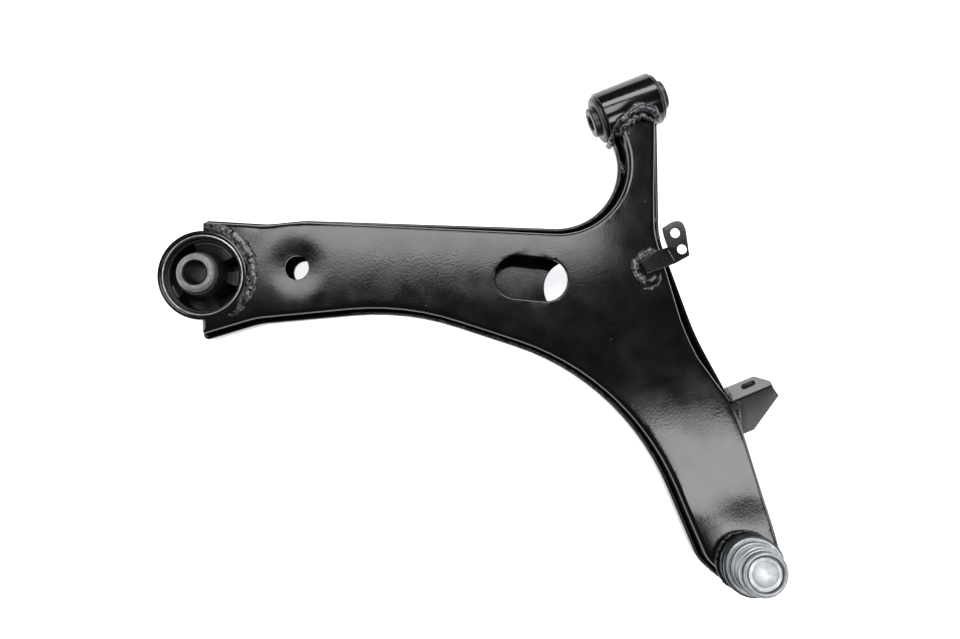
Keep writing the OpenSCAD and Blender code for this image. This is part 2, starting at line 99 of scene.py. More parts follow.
def addCamera(v):
    turn = math.radians(v["turn"])
    tilt = math.radians(v["tilt"])
    right = Vector((math.cos(turn), -math.sin(turn), 0))
    up = Vector((math.sin(turn), math.cos(turn), 0))
    back = Vector((0, 0, math.cos(tilt))) - up * math.sin(tilt)
    camUp = back.cross(right)
    bpy.ops.object.camera_add()
    cam = bpy.context.object
    cam.name = "studioCamera"
    cam.data.lens = v["lens"]
    cam.data.sensor_width = 36
    cam.data.clip_start = 0.01
    cam.matrix_world = Matrix((
        (right.x, camUp.x, back.x, v["over"][0]),
        (right.y, camUp.y, back.y, v["over"][1]),
        (right.z, camUp.z, back.z, v["height"]),
        (0, 0, 0, 1)))
    bpy.context.scene.camera = cam
    return right, up


camRight, camUp = addCamera(view)

lamps = [   # name, across and up from the camera's foot (m), height, size across, size up, watts
    ("softboxUpperLeft", -0.11, 0.42, 1.0, 0.68, 0.42, 6.0),
    ("softboxLowerRight", 0.56, -0.30, 1.0, 0.52, 0.43, 5.6),
    ("softboxFarUp", 0.30, 1.05, 1.0, 1.2, 0.5, 16),
    ("sideStripLeft", -1.25, -0.1, 0.45, 0.35, 1.4, 6),
    ("sideStripRight", 1.45, 0.1, 0.45, 0.35, 1.4, 5),
]


def addLamps():
    foot = Vector((view["over"][0], view["over"][1], 0))
    for name, across, upward, height, sizeX, sizeY, watts in lamps:
        place = foot + camRight * across + camUp * upward + Vector((0, 0, height))
        bpy.ops.object.light_add(type="AREA", location=place)
        lamp = bpy.context.object
        lamp.name = name
        lamp.data.shape = "RECTANGLE"
        lamp.data.size = sizeX
        lamp.data.size_y = sizeY
        lamp.data.energy = watts
        if name.startswith("softbox"):
            lamp.rotation_euler = (0, 0, math.radians(-view["turn"]))
        else:
            lamp.rotation_euler = (foot - place).to_track_quat("-Z", "Y").to_euler()


addLamps()
bpy.context.scene.view_settings.view_transform = "Standard"


def addWorld():
    world = bpy.data.worlds.new("studioWorld")
    bpy.context.scene.world = world
    world.use_nodes = True
    back = world.node_tree.nodes["Background"]
    back.inputs["Color"].default_value = (0.93, 0.96, 1.0, 1)
    back.inputs["Strength"].default_value = 0.05


addWorld()


# materials
def hexColour(code):
    channels = [int(code[i:i + 2], 16) / 255 for i in (1, 3, 5)]
    return tuple(c / 12.92 if c <= 0.04045 else ((c + 0.055) / 1.055) ** 2.4 for c in channels) + (1,)


def newMaterial(name, colour, metallic, roughness):
    mat = bpy.data.materials.new(name)
    mat.use_nodes = True
    shader = mat.node_tree.nodes["Principled BSDF"]
    shader.inputs["Base Color"].default_value = hexColour(colour)
    shader.inputs["Metallic"].default_value = metallic
    shader.inputs["Roughness"].default_value = roughness
    return mat, shader


def addNode(mat, kind, links=(), **settings):
    node = mat.node_tree.nodes.new(kind)
    for key, value in settings.items():
        slotName = key.replace("_", " ")
        if slotName in node.inputs:
            node.inputs[slotName].default_value = value
        else:
            setattr(node, key, value)
    for source, target in links:
        mat.node_tree.links.new(source, node.inputs[target] if isinstance(target, (str, int)) else target)
    return node


def join(mat, source, target):
    mat.node_tree.links.new(source, target)


def objectPlace(mat):
    return addNode(mat, "ShaderNodeTexCoord").outputs["Object"]


def noiseOf(mat, place, sizeMm, detail=2.0, rough=0.5):
    return addNode(mat, "ShaderNodeTexNoise", [(place, "Vector")],
                   Scale=1000 / sizeMm, Detail=detail, Roughness=rough).outputs["Fac"]


def between(mat, source, low, high, fromLow=0.0, fromHigh=1.0):
    node = addNode(mat, "ShaderNodeMapRange", [(source, "Value")])
    node.inputs["From Min"].default_value = fromLow
    node.inputs["From Max"].default_value = fromHigh
    node.inputs["To Min"].default_value = low
    node.inputs["To Max"].default_value = high
    return node.outputs["Result"]


def blendColour(mat, amount, first, second):
    node = addNode(mat, "ShaderNodeMix", data_type="RGBA")
    join(mat, amount, node.inputs["Factor"])
    for source, place in ((first, 6), (second, 7)):
        if isinstance(source, str):
            node.inputs[place].default_value = hexColour(source)
        else:
            join(mat, source, node.inputs[place])
    return node.outputs[2]


def bumpOf(mat, height, depthMm, strength=1.0, under=None):
    node = addNode(mat, "ShaderNodeBump", [(height, "Height")], Strength=strength, Distance=depthMm * mm)
    if under is not None:
        join(mat, under, node.inputs["Normal"])
    return node.outputs["Normal"]


# Electro-dip coat over pressed steel: deep black and semi-gloss,
# so wide soft reflections with a fine orange peel
def dippedCoat(name, s):
    mat, shader = newMaterial(name, s["colour"], 0.0, s["rough"])
    shader.inputs["IOR"].default_value = 1.52
    shader.inputs["Specular IOR Level"].default_value = s.get("gloss", 0.5)
    place = objectPlace(mat)
    peel = noiseOf(mat, place, s["peelMm"], 2.0, 0.55)
    waves = noiseOf(mat, place, s["waveMm"], 1.0)
    patches = noiseOf(mat, place, 22, 4.0, 0.6)
    specks = noiseOf(mat, place, 1.6, 1.0)
    dust = between(mat, specks, 0.0, 1.0, s["dustFrom"], s["dustFrom"] + 0.06)
    worn = addNode(mat, "ShaderNodeNewGeometry").outputs["Pointiness"]
    edge = between(mat, worn, 0.0, s["edge"], 0.54, 0.62)
    base = blendColour(mat, between(mat, patches, 0.0, 1.0, 0.35, 0.7), s["colour"], s["second"])
    base = blendColour(mat, edge, base, "#5a5c60")
    base = blendColour(mat, dust, base, "#a9abad")
    if "dustAndSheenAbove" in s:        # settled dust and a painted sheen lighten the faces above this height (mm); the faces below keep the plain black coat as painted shade
        height = addNode(mat, "ShaderNodeSeparateXYZ", [(place, "Vector")]).outputs["Z"]
        settledDustAndSheen = between(mat, height, 0.0, 0.75, (s["dustAndSheenAbove"] - 0.3) * mm, s["dustAndSheenAbove"] * mm)
        base = blendColour(mat, settledDustAndSheen, base, "#8d8f91")
    join(mat, base, shader.inputs["Base Color"])
    uneven = between(mat, patches, s["rough"] - 0.03, s["rough"] + 0.05, 0.3, 0.7)
    join(mat, uneven, shader.inputs["Roughness"])
    wavy = bumpOf(mat, waves, s["waveDepth"], 1.0)
    join(mat, bumpOf(mat, peel, s["peelDepth"], 0.6, wavy), shader.inputs["Normal"])
    return mat


shellCoat = dippedCoat("dippedCoatOnPressedSteel", {
    "colour": "#08090a", "second": "#0e0f11", "rough": 0.12, "peelMm": 1.7, "peelDepth": 0.045,
    "waveMm": 60, "waveDepth": 0.15, "dustFrom": 0.80, "edge": 0.25})
ringCoat = dippedCoat("dippedCoatOnTurnedSteel", {
    "colour": "#070809", "second": "#0d0e10", "rough": 0.12, "peelMm": 1.5, "peelDepth": 0.03,
    "waveMm": 30, "waveDepth": 0.1, "dustFrom": 0.80, "edge": 0.3})
# the bracket's top faces carry settled dust and a painted sheen, and the slot floor below them stays black as
# painted shade
bracketCoat = dippedCoat("dippedCoatOnBentSheet", {
    "colour": "#060607", "second": "#0c0c0e", "rough": 0.36, "gloss": 0.2, "peelMm": 1.3, "peelDepth": 0.04,
    "waveMm": 25, "waveDepth": 0.1, "dustFrom": 0.76, "edge": 0.4, "dustAndSheenAbove": 17.9})
clipCoat = dippedCoat("dippedCoatOnThinSheet", {
    "colour": "#08090a", "second": "#0f1012", "rough": 0.14, "peelMm": 1.3, "peelDepth": 0.03,
    "waveMm": 25, "waveDepth": 0.1, "dustFrom": 0.80, "edge": 0.4})


# Coat over a hand-laid bead: the ripples catch light, slag shows grey, and pale spatter specks are painted
# highlights on the spatter
def beadCoat(name, s):
    mat, shader = newMaterial(name, s["colour"], 0.0, s["rough"])
    shader.inputs["IOR"].default_value = 1.52
    place = objectPlace(mat)
    lumps = noiseOf(mat, place, s["lumpMm"], 3.0, 0.6)
    grit = noiseOf(mat, place, 0.9, 2.0, 0.6)
    spots = addNode(mat, "ShaderNodeTexVoronoi", [(place, "Vector")], Scale=1000 / 3.2).outputs["Distance"]
    spatterGlint = between(mat, spots, 1.0, 0.0, 0.05, 0.2)
    grey = blendColour(mat, between(mat, lumps, 0.0, 1.0, s["from"], s["from"] + 0.2),
                       s["colour"], s["second"])
    # pale specks: painted highlights on weld spatter
    spotted = blendColour(mat, between(mat, spatterGlint, 0.0, s["spatterGlint"]), grey, "#c2c4c6")
    join(mat, spotted, shader.inputs["Base Color"])
    join(mat, between(mat, grit, s["rough"] - 0.08, s["rough"] + 0.15), shader.inputs["Roughness"])
    low = bumpOf(mat, lumps, 0.7, 1.0)
    join(mat, bumpOf(mat, grit, 0.07, 0.8, low), shader.inputs["Normal"])
    return mat


weldCoat = beadCoat("dippedCoatOnWeldBead", {
    "colour": "#0d0e0f", "second": "#4a4c4f", "rough": 0.15, "lumpMm": 7, "from": 0.4, "spatterGlint": 0.55})
seamCoat = beadCoat("dippedCoatOnSeamBead", {
    "colour": "#0c0d0e", "second": "#333538", "rough": 0.26, "lumpMm": 5, "from": 0.5, "spatterGlint": 0.25})


# Steel: turned or drawn, with fine lines round or along, small stains and a slightly uneven gloss
def steel(name, s):
    mat, shader = newMaterial(name, s["colour"], s["metallic"], s["rough"])
    place = objectPlace(mat)
    stains = noiseOf(mat, place, s["stainMm"], 4.0, 0.6)
    stretched = addNode(mat, "ShaderNodeMapping", [(place, "Vector")])
    stretched.inputs["Scale"].default_value = s["lines"]
    lines = addNode(mat, "ShaderNodeTexNoise", [(stretched.outputs["Vector"], "Vector")],
                    Scale=1.0, Detail=2.0).outputs["Fac"]
    tone = blendColour(mat, between(mat, stains, 0.0, 1.0, 0.35, 0.7), s["colour"], s["second"])
    if "boreShadeMm" in s:       # painted shade darkens the upright bore at the origin
        flatPlace = addNode(mat, "ShaderNodeVectorMath", [(place, 0)], operation="MULTIPLY")
        flatPlace.inputs[1].default_value = (1, 1, 0)
        fromAxis = addNode(mat, "ShaderNodeVectorMath", [(flatPlace.outputs["Vector"], 0)],
                           operation="LENGTH")
        inside = between(mat, fromAxis.outputs["Value"], 0.95, 0.0,
                         s["boreShadeMm"] * mm, (s["boreShadeMm"] + 0.5) * mm)
        tone = blendColour(mat, inside, tone, "#0b0b0c")
    join(mat, tone, shader.inputs["Base Color"])
    join(mat, between(mat, stains, s["rough"] - 0.06, s["rough"] + 0.1, 0.3, 0.7), shader.inputs["Roughness"])
    grain = bumpOf(mat, noiseOf(mat, place, s["grainMm"], 2.0), s["grainDepth"], 0.7)
    join(mat, bumpOf(mat, lines, s["lineDepth"], 0.6, grain), shader.inputs["Normal"])
    return mat


zincPlate = steel("brightZincOnTurnedSteel", {
    "colour": "#b3b7ba", "second": "#9fa4a8", "metallic": 1.0, "rough": 0.5, "stainMm": 9,
    "lines": (60, 60, 2600), "grainMm": 0.9, "grainDepth": 0.012, "lineDepth": 0.02})
drawnSteel = steel("drawnSteelSleeve", {
    "colour": "#b9bcbf", "second": "#8b8e92", "metallic": 1.0, "rough": 0.28, "stainMm": 7,
    "lines": (80, 80, 1500), "grainMm": 0.8, "grainDepth": 0.02, "lineDepth": 0.02})
phosphateSteel = steel("phosphatedSteelSleeve", {
    "colour": "#8a8c8d", "second": "#6b6d6e", "metallic": 0.75, "rough": 0.5, "stainMm": 4, "boreShadeMm": 9.4,
    "lines": (900, 900, 900), "grainMm": 0.7, "grainDepth": 0.05, "lineDepth": 0.02})
studSteel = steel("groundSteelStud", {
    "colour": "#a9acb0", "second": "#85888c", "metallic": 1.0, "rough": 0.25, "stainMm": 6,
    "lines": (40, 40, 1800), "grainMm": 0.8, "grainDepth": 0.01, "lineDepth": 0.015})


# Moulded rubber: matt black with a faint bloom and a fine moulded skin
def mouldedRubber(name, s):
    mat, shader = newMaterial(name, s["colour"], 0.0, s["rough"])
    place = objectPlace(mat)
    bloom = noiseOf(mat, place, s["bloomMm"], 3.0, 0.6)
    skin = noiseOf(mat, place, 0.8, 2.0)
    join(mat, blendColour(mat, between(mat, bloom, 0.0, 1.0, 0.35, 0.75), s["colour"], s["second"]),
         shader.inputs["Base Color"])
    join(mat, between(mat, bloom, s["rough"] - 0.08, s["rough"] + 0.12), shader.inputs["Roughness"])
    join(mat, bumpOf(mat, skin, 0.03, 0.7, bumpOf(mat, bloom, 0.2, 0.8)), shader.inputs["Normal"])
    return mat


bushRubber = mouldedRubber("naturalRubber", {
    "colour": "#08080a", "second": "#111113", "rough": 0.38, "bloomMm": 12})
bootRubber = mouldedRubber("chloropreneBoot", {
    "colour": "#0f1110", "second": "#1e2220", "rough": 0.36, "bloomMm": 7})


# Moulded acetal: off-white, faintly translucent and waxy
def acetalLiner():
    mat, shader = newMaterial("mouldedAcetal", "#d9d6cb", 0.0, 0.35)
    place = objectPlace(mat)
    cloud = noiseOf(mat, place, 5, 2.0)
    join(mat, blendColour(mat, cloud, "#dedbd0", "#cbc7ba"), shader.inputs["Base Color"])
    join(mat, bumpOf(mat, noiseOf(mat, place, 1.2), 0.02, 0.6), shader.inputs["Normal"])
    return mat


acetal = acetalLiner()


# Matt painted sheet: pale, with a barely seen grain
def floorPaint():
    mat, shader = newMaterial("mattFloorPaint", "#f6f7f8", 0.0, 0.7)
    place = objectPlace(mat)
    paint = blendColour(mat, noiseOf(mat, place, 300, 2.0), "#f7f8f8", "#f2f3f4")
    join(mat, paint, shader.inputs["Base Color"])
    shader.inputs["Emission Color"].default_value = hexColour("#fbfcff")
    shader.inputs["Emission Strength"].default_value = 0.85
    return mat


def addFloor():
    low = cadBounds[0][2]
    bpy.ops.mesh.primitive_plane_add(size=12, location=(0.17, -0.16, low))
    floor = bpy.context.object
    floor.name = "studioFloor"
    bpy.ops.object.transform_apply(location=True, rotation=False, scale=False)
    floor.data.materials.append(floorPaint())


addFloor()
print("camera, lamps, floor and materials are in place")


# modelling helpers
def startClean():
    if bpy.context.object and bpy.context.object.mode != "OBJECT":
        bpy.ops.object.mode_set(mode="OBJECT")
    bpy.ops.object.select_all(action="DESELECT")


def finishPiece(piece, body, mat, smooth=35, replaces=()):
    startClean()
    piece.select_set(True)
    bpy.context.view_layer.objects.active = piece
    bpy.ops.object.transform_apply(location=True, rotation=True, scale=True)
    bpy.ops.object.shade_smooth_by_angle(angle=math.radians(smooth))
    piece.data.materials.clear()
    piece.data.materials.append(mat)
    if isinstance(body, tuple):
        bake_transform(piece)
    else:
        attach(piece, body)
    if replaces:
        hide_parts(*replaces)
    return piece


def loftRings(name, rings):
    startClean()
    bpy.ops.mesh.primitive_circle_add(vertices=len(rings[0]), radius=0.01, fill_type="NGON")
    piece = bpy.context.object
    piece.name = name
    bpy.ops.object.mode_set(mode="EDIT")
    mesh = bmesh.from_edit_mesh(piece.data)
    order = mesh.verts.layers.int.new("ringOrder")
    for index, vert in enumerate(mesh.verts):
        vert[order] = index
        vert.co = rings[0][index]
    for ring in rings[1:]:
        bpy.ops.mesh.extrude_region()
        mesh = bmesh.from_edit_mesh(piece.data)
        order = mesh.verts.layers.int["ringOrder"]
        for vert in mesh.verts:
            if vert.select:
                vert.co = ring[vert[order]]
    bpy.ops.mesh.select_all(action="SELECT")
    bpy.ops.mesh.remove_doubles(threshold=0.00001)
    bpy.ops.mesh.normals_make_consistent(inside=False)
    bpy.ops.object.mode_set(mode="OBJECT")
    layer = piece.data.attributes.get("ringOrder")
    if layer:
        piece.data.attributes.remove(layer)
    return piece


def spinProfile(name, profile, centre, axis="Z", steps=96):
    startClean()
    bpy.ops.mesh.primitive_circle_add(vertices=len(profile), radius=0.01, fill_type="NOTHING")
    piece = bpy.context.object
    piece.name = name
    bpy.ops.object.mode_set(mode="EDIT")
    mesh = bmesh.from_edit_mesh(piece.data)
    for vert, (r, h) in zip(mesh.verts, profile):
        if axis == "Z":
            vert.co = Vector((r, 0, h)) * mm + centre
        else:
            vert.co = Vector((h, 0, r)) * mm + centre
    bpy.ops.mesh.select_all(action="SELECT")
    bpy.ops.mesh.spin(steps=steps, angle=math.tau, center=centre,
                      axis=(0, 0, 1) if axis == "Z" else (1, 0, 0))
    bpy.ops.mesh.select_all(action="SELECT")
    bpy.ops.mesh.remove_doubles(threshold=0.00001)
    bpy.ops.mesh.normals_make_consistent(inside=False)
    bpy.ops.object.mode_set(mode="OBJECT")
    return piece


def roundProfile(points, radius=0.5, steps=3):
    rounded = []
    count = len(points)
    for i in range(count):
        here = Vector(points[i])
        before = Vector(points[i - 1]) - here
        after = Vector(points[(i + 1) % count]) - here
        reach = min(radius, before.length * 0.45, after.length * 0.45)
        first = here + before.normalized() * reach
        last = here + after.normalized() * reach
        for k in range(steps + 1):
            t = k / steps
            rounded.append(tuple(first * (1 - t) ** 2 + here * 2 * t * (1 - t) + last * t * t))
    return rounded


def cutBy(piece, cutter):
    startClean()
    piece.select_set(True)
    bpy.context.view_layer.objects.active = piece
    mod = piece.modifiers.new("cut", "BOOLEAN")
    mod.operation = "DIFFERENCE"
    mod.solver = "EXACT"
    mod.object = cutter
    bpy.ops.object.modifier_apply(modifier=mod.name)
    bpy.data.objects.remove(cutter, do_unlink=True)


def drill(piece, place, radius, depth=0.2, axis="Z", sides=96):
    startClean()
    bpy.ops.mesh.primitive_cylinder_add(
        vertices=sides, radius=radius, depth=depth, location=place,
        rotation=(0, math.pi / 2, 0) if axis == "X" else ((math.pi / 2, 0, 0) if axis == "Y" else (0, 0, 0)))
    cutBy(piece, bpy.context.object)


def bevelWhere(piece, test, width, segments=2):
    startClean()
    piece.select_set(True)
    bpy.context.view_layer.objects.active = piece
    bpy.ops.object.mode_set(mode="EDIT")
    bpy.ops.mesh.select_mode(type="EDGE")
    bpy.ops.mesh.select_all(action="DESELECT")
    mesh = bmesh.from_edit_mesh(piece.data)
    for edge in mesh.edges:
        place = (edge.verts[0].co + edge.verts[1].co) / 2
        if len(edge.link_faces) == 2 and edge.calc_face_angle(0) > 0.5 and test(place):
            edge.select = True
    bmesh.update_edit_mesh(piece.data)
    bpy.ops.mesh.bevel(offset=width, segments=segments, profile=0.5)
    bpy.ops.object.mode_set(mode="OBJECT")


def evenNormals(piece):
    startClean()
    piece.select_set(True)
    bpy.context.view_layer.objects.active = piece
    mod = piece.modifiers.new("even", "WEIGHTED_NORMAL")
    mod.keep_sharp = True
    bpy.ops.object.modifier_apply(modifier=mod.name)


# the two pressed shells
shell = {
    "lap": 3.1, "sheet": 3.0, "shoulder": 3.0, "lapHalf": 4.0, "arcStep": 4,
    "corners": [   # x, y, corner radius, how far the upper wall leans in by the plate (mm)
        (-22, -44.5, 4, 0.6), (24, -49, 60, 0.6), (132, -82.5, 200, 1.0), (266, -197, 190, 1.2),
        (266, -343, 30, 1.2), (290, -387, 22, 0.8), (323, -383, 22, 0.8), (329, -340, 60, 0.4),
        (338.5, -252, 90, 0.6), (332, -185, 200, 6.5), (336, -104, 60, 3.0), (375, -8, 6, 0.6),
        (331, -8, 6, 3.5), (331, -97, 48, 3.5), (85, 13.5, 60, 0.6), (58, 21.5, 60, 0.5),
        (12.5, 43.45, 4, 0.4)],
    "lip": [   # the rolled lap edge: how far in, and how far short of the lap's end (mm)
        (0.0, 1.7), (0.25, 0.8), (0.8, 0.2), (1.5, 0.0), (2.3, 0.15), (2.8, 0.6), (3.0, 1.4)],
}


def outline(inward, lean, z):
    pts = []
    corners = shell["corners"]
    count = len(corners)
    for i, (x, y, r, leanHere) in enumerate(corners):
        here = Vector((x, y))
        a = (here - Vector(corners[i - 1][:2])).normalized()
        b = (Vector(corners[(i + 1) % count][:2]) - here).normalized()
        na = Vector((-a.y, a.x))
        nb = Vector((-b.y, b.x))
        way = 1 if a.x * b.y - a.y * b.x > 0 else -1
        depth = inward + lean * leanHere
        spot = here + (na + nb) * depth / (1 + na.dot(nb))
        radius = max(1.2, r - way * depth)
        turn = math.acos(max(-1, min(1, a.dot(b))))
        start = spot - a * radius * math.tan(turn / 2)
        centre = start + na * way * radius
        full = max(1, math.ceil(math.degrees(turn) / shell["arcStep"]))
        for k in range(full + 1):
            t = turn * k / full
            p = centre - na * way * radius * math.cos(t) + a * radius * math.sin(t)
            pts.append(Vector((p.x * mm, p.y * mm, z * mm)))
    return pts


def shellRings(lap, side):
    s = shell
    r, sheet, half = s["shoulder"], s["sheet"], s["lapHalf"]
    rings = [outline(lap + r + 3, 1, side * 19), outline(lap + r + 0.8, 1, side * 19)]
    for k in range(7):
        t = math.radians(15 * k)
        rings.append(outline(lap + r * (1 - math.sin(t)), 1, side * (19 - r * (1 - math.cos(t)))))
    rings.append(outline(lap + 0.35, 0.35, side * 3))
    for inward, below in s["lip"]:
        rings.append(outline(lap + inward, 0, -side * (half - below)))
    rings.append(outline(lap + sheet + 0.2, 1, side * 15))
    rings.append(outline(lap + sheet + 1.2, 1, side * 16))
    return rings


def slotCutter(length, width, centre, turn, z):
    half = (length - width) / 2
    ring = []
    for side in (1, -1):
        for k in range(25):
            t = math.radians(-90 + 180 * k / 24)
            ring.append(Vector((side * (half + width / 2 * math.cos(t)), side * width / 2 * math.sin(t))))
    turned = []
    for p in ring:
        c, s = math.cos(math.radians(turn)), math.sin(math.radians(turn))
        turned.append(((centre[0] + p.x * c - p.y * s) * mm, (centre[1] + p.x * s + p.y * c) * mm))
    return loftRings("slotCutter", [[Vector((x, y, h * mm)) for x, y in turned] for h in z])


def cutForBushes(piece):
    drill(piece, rearBush, 0.0342, sides=128)
    drill(piece, frontBush, 0.0212, depth=0.1, axis="X", sides=128)
    drill(piece, (ballAt.x, ballAt.y, 0), 0.0202, sides=96)
    drill(piece, (0.068, -0.0215, 0), 0.0092, sides=64)


# what the press leaves on the upper plate: heights in mm, places in mm
pressing = {
    "grid": 8.0, "roll": 0.5, "rollReach": 7.0,
    "dimple": (68.0, -21.5, 0.8, 9.0, 24.0),           # x, y, depth, full within, gone beyond
    "mound": (296.0, -352.0, 3.1, 18.0, 52.0),         # a cone with soft ends
    "neckStep": 2.6, "neckFrom": (322.0, -92.0), "neckTo": (333.0, -66.0),
}


def ease(value, low, high):
    t = max(0.0, min(1.0, (value - low) / (high - low)))
    return t * t * (3 - 2 * t)


def pressedHeight(x, y, edge):
    p = pressing
    height = -p["roll"] * (1 - ease(edge, 0, p["rollReach"]))
    dx, dy, depth, full, gone = p["dimple"]
    height -= depth * (1 - ease(math.hypot(x - dx, y - dy), full, gone))
    mx, my, rise, full, gone = p["mound"]
    fromBoss = math.hypot(x - mx, y - my)
    straight = max(0.0, min(1.0, (fromBoss - full) / (gone - full)))
    height += rise * (1 - 0.75 * straight - 0.25 * ease(fromBoss, full, gone))
    first, last = Vector(p["neckFrom"]), Vector(p["neckTo"])
    along = (Vector((x, y)) - first).dot(last - first) / (last - first).length_squared
    if x > 300 and y > -110:
        height -= p["neckStep"] * ease(along, 0, 1)
    return height


def pressPlate(piece):
    startClean()
    piece.select_set(True)
    bpy.context.view_layer.objects.active = piece
    bpy.ops.object.mode_set(mode="EDIT")
    low, high = cadBounds
    step = pressing["grid"] * mm
    for axis, normal in ((0, (1, 0, 0)), (1, (0, 1, 0))):
        place = low[axis] + step
        while place < high[axis]:
            bpy.ops.mesh.select_all(action="SELECT")
            spot = [0, 0, 0]
            spot[axis] = place
            bpy.ops.mesh.bisect(plane_co=spot, plane_no=normal)
            place += step
    edges = outline(shell["lap"], 0, 0)
    tree = KDTree(len(edges))
    for i, p in enumerate(edges):
        tree.insert(p, i)
    tree.balance()
    mesh = bmesh.from_edit_mesh(piece.data)
    for vert in mesh.verts:
        x, y, z = vert.co
        share = ease(z, 0.009, 0.0155)
        if share > 0:
            edge = tree.find((x, y, 0))[2] / mm
            vert.co.z = z + share * pressedHeight(x / mm, y / mm, edge) * mm
    bmesh.update_edit_mesh(piece.data)
    bpy.ops.object.mode_set(mode="OBJECT")


def makeUpperShell():
    piece = loftRings("upperShell", shellRings(shell["lap"], 1))
    pressPlate(piece)
    cutForBushes(piece)
    cutBy(piece, slotCutter(55.5, 32.5, (230, -97), -28, (8, 30)))

    def onSlotRim(p):
        return p.z > 0.017 and 0.19 < p.x < 0.27 and -0.13 < p.y < -0.06

    def onHoleRim(p):
        return 0.016 < p.z and abs(math.hypot(p.x - 0.068, p.y + 0.0215) - 0.0092) < 0.0004
    bevelWhere(piece, onSlotRim, 0.0012, 3)
    bevelWhere(piece, onHoleRim, 0.0006, 2)
    finishPiece(piece, "arm", shellCoat, 40, ("upper_shell",))
    evenNormals(piece)
    return piece


def makeLowerShell():
    piece = loftRings("lowerShell", shellRings(0, -1))
    cutForBushes(piece)
    drill(piece, (0.260, -0.114, -0.02), 0.022, depth=0.03)
    finishPiece(piece, "arm", shellCoat, 40, ("lower_shell",))
    evenNormals(piece)
    return piece


makeUpperShell()
makeLowerShell()
print("both pressed shells are made")


# bushes
bushes = {   # profiles: radius, and place along the bush from its middle (mm)
    "ring": [(31.05, -21), (33.97, -21), (33.97, 21), (31.05, 21)],
    "rearOuter": [(29.4, -18.9), (30.95, -19), (30.95, 20.2), (30.0, 20.4), (29.3, 19.6)],
    "rearInner": [
        (9.3, 38), (8.2, 36.9), (8.2, -30.9), (9.3, -32), (13.4, -32), (14.25, -31.2),
        (14.25, 36.2), (12.6, 38)],
    "tube": [(18.05, -22.5), (21, -22.5), (21, 22.5), (18.05, 22.5)],
    "frontOuter": [(16.55, -22.4), (17.95, -22.4), (17.95, 22.4), (16.55, 22.4)],
    "frontRubber": [
        (11.85, -26.4), (16.4, -26.4), (18.6, -25.2), (18.9, -23.2), (16.5, -22.6), (16.5, 22.6),
        (18.9, 23.2), (18.6, 25.2), (16.4, 26.4), (11.85, 26.4)],
    "frontInner": [
        (7.0, -31), (11.0, -31), (11.75, -30.3), (11.75, 30.3), (11.0, 31), (7.0, 31),
        (6.2, 30.2), (6.2, -30.2)],
}


def makeBushes():
    b = bushes
    ring = spinProfile("rearBushRing", roundProfile(b["ring"], 0.9), rearBush)
    finishPiece(ring, "arm", ringCoat, 40, ("rear_bush_ring",))
    sleeve = spinProfile("rearOuterSleeve", roundProfile(b["rearOuter"], 0.35), rearBush)
    finishPiece(sleeve, "arm", sleeveRim, 40, ("rear_bush_outer_sleeve",))
    inner = spinProfile("rearInnerSleeve", roundProfile(b["rearInner"], 0.3), rearBush)
    finishPiece(inner, "rear_sleeve", phosphateSteel, 30, ("rear_bush_inner_sleeve",))
    tube = spinProfile("frontBushTube", roundProfile(b["tube"], 0.8), frontBush, "X")
    finishPiece(tube, "arm", ringCoat, 40, ("front_bush_tube",))
    outer = spinProfile("frontOuterSleeve", roundProfile(b["frontOuter"], 0.4), frontBush, "X")
    finishPiece(outer, "arm", sleeveRim, 40, ("front_bush_outer_sleeve",))
    rubber = spinProfile("frontRubber", roundProfile(b["frontRubber"], 0.7), frontBush, "X")
    finishPiece(rubber, "arm", bushRubber, 50, ("front_bush_rubber",))
    frontInner = spinProfile("frontInnerSleeve", roundProfile(b["frontInner"], 0.3), frontBush, "X")
    finishPiece(frontInner, "front_sleeve", darkPhosphate, 30,
                ("front_bush_inner_sleeve",))


darkPhosphate = steel("phosphatedSteelUnderCoat", {
    "colour": "#3b3d3f", "second": "#242628", "metallic": 0.6, "rough": 0.36, "stainMm": 4,
    "lines": (900, 900, 900), "grainMm": 0.7, "grainDepth": 0.04, "lineDepth": 0.02})
sleeveRim = steel("coatedSleeveWithBareRim", {
    "colour": "#c3c6c9", "second": "#85888c", "metallic": 1.0, "rough": 0.42, "stainMm": 6,
    "lines": (80, 80, 1500), "grainMm": 0.8, "grainDepth": 0.02, "lineDepth": 0.02})
makeBushes()


# the rubber: a domed body on the inner sleeve, two thick spokes and two hollows between them
rubberShape = {   # mm, and each hollow's first and last angle in degrees
    "outer": 29.15, "inner": 14.3, "top": 17.0, "low": -17.0, "hollowIn": 17.5, "hollowOut": 26.6,
    "hollows": ((88, 172), (198, 252), (274, 318), (346, 372)),
}


def makeRearRubber():
    s = rubberShape
    inner, outer, top, low = s["inner"], s["outer"], s["top"], s["low"]
    profile = [
        (inner, low), (17.5, low), (26.5, low + 3), (outer, low + 2), (outer, top - 2),
        (27.6, top - 3.4), (25.5, top - 5), (22.0, top - 3.0), (18.4, top + 0.5), (16.6, top + 7),
        (15.8, top + 14.5), (15.0, top + 15.5), (inner, top + 15.5)]
    rubber = spinProfile("rearBushRubber", roundProfile(profile, 1.6, 4), rearBush, steps=128)
    for first, last in s["hollows"]:
        ring = []
        for k in range(21):
            t = math.radians(first + (last - first) * k / 20)
            ring.append(Vector((math.cos(t), math.sin(t))) * s["hollowOut"])
        for k in range(21):
            t = math.radians(last - (last - first) * k / 20)
            ring.append(Vector((math.cos(t), math.sin(t))) * s["hollowIn"])
        rings = [[Vector((p.x * mm, p.y * mm, h * mm)) for p in ring] for h in (-9, 30)]
        cutBy(rubber, loftRings("hollow", rings))
    bevelWhere(rubber, lambda p: p.z > 0.0, 0.0016, 4)
    # the collar is bonded to the inner sleeve
    finishPiece(rubber, ("arm", "rear_sleeve", (0, 0, 0.012), (0, 0, 0.022)), bushRubber, 60,
                ("rear_bush_rubber",))


makeRearRubber()
print("bushes are made")


